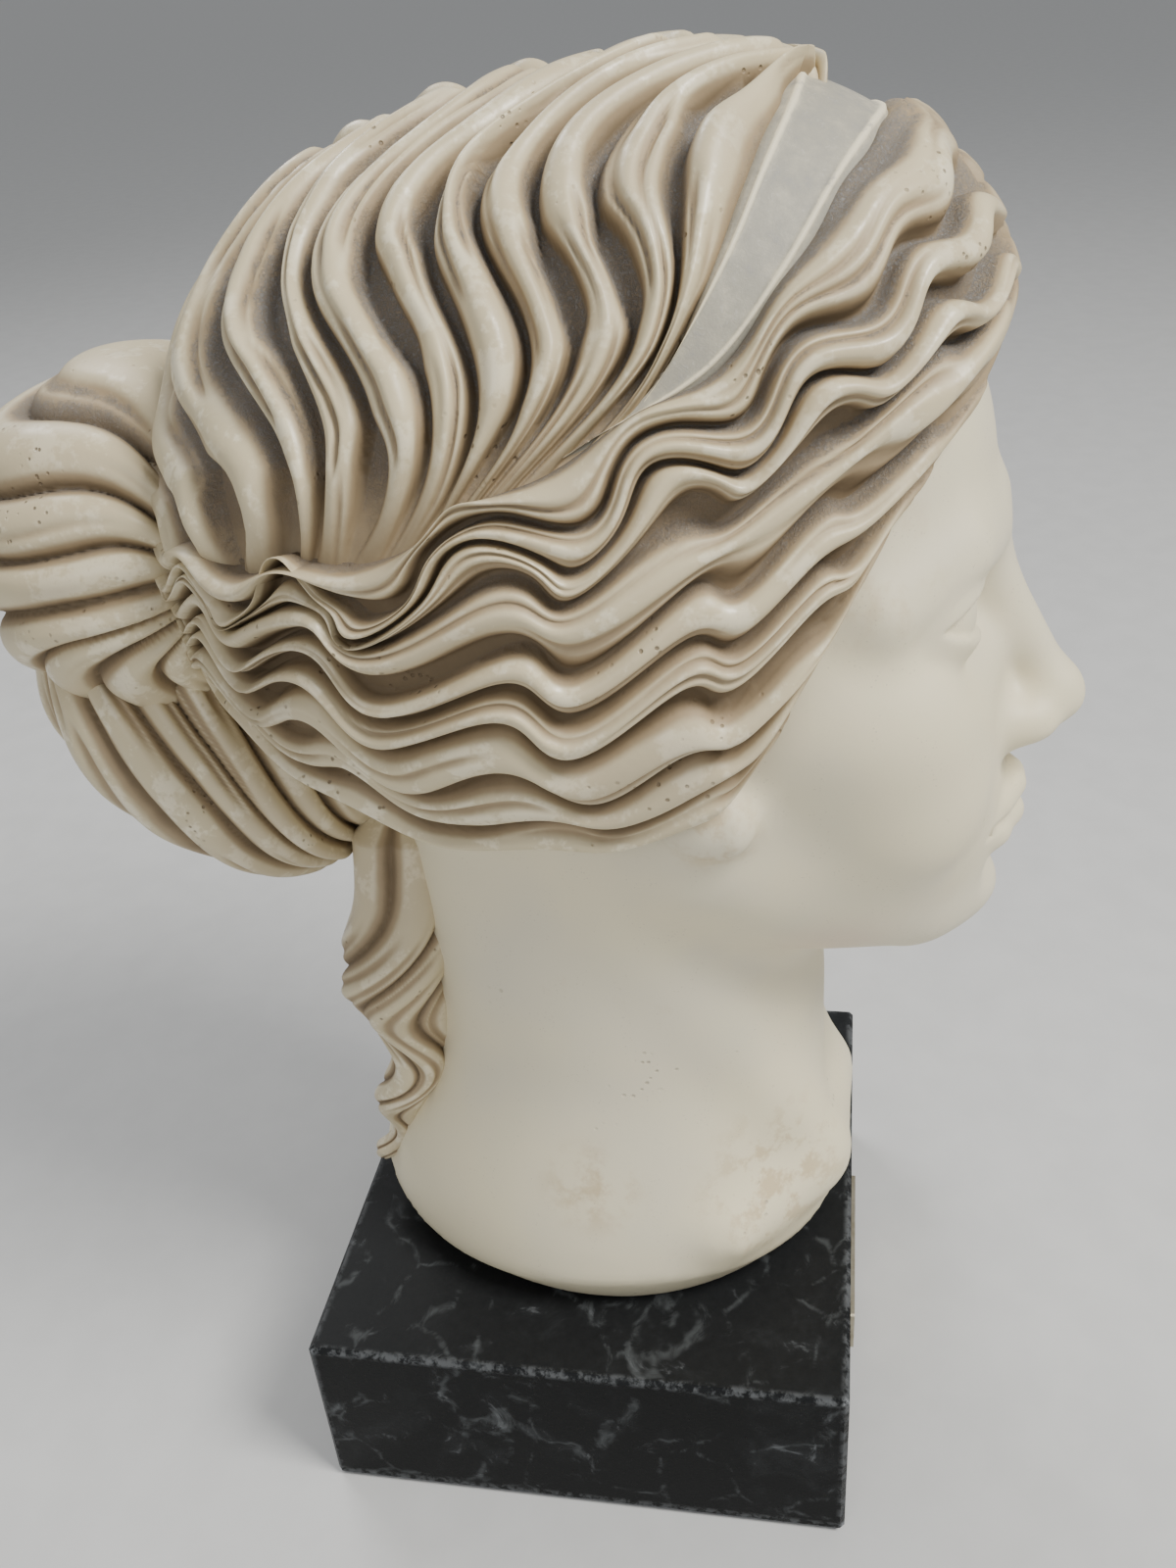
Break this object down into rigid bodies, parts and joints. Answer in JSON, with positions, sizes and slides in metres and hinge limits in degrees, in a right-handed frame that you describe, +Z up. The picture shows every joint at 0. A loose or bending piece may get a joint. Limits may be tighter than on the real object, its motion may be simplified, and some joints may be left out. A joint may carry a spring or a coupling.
{
  "type": "portrait bust on plinth",
  "caption": "Classical female portrait head with wavy bound hair and a chignon, cast in plaster and standing on a square black marble plinth.",
  "frame": {"origin": "centre of the underside, on the surface that the plinth stands on", "axes": "+Z up, the head faces -Y, +X is the head's own left"},
  "size_m": [0.1366, 0.2199, 0.297],
  "materials": {
    "plaster": "satin",
    "black_marble": "satin",
    "zinc_steel": "satin",
    "plate_metal": "satin",
    "felt": "matte"
  },
  "bodies": {
    "root": {"bust": "plaster", "anchor_nut": "zinc_steel", "stud": "zinc_steel", "plinth": "black_marble", "washer": "zinc_steel", "fixing_nut": "zinc_steel", "name_plate": "plate_metal", "felt_sheet": "felt"}
  },
  "joints": []
}
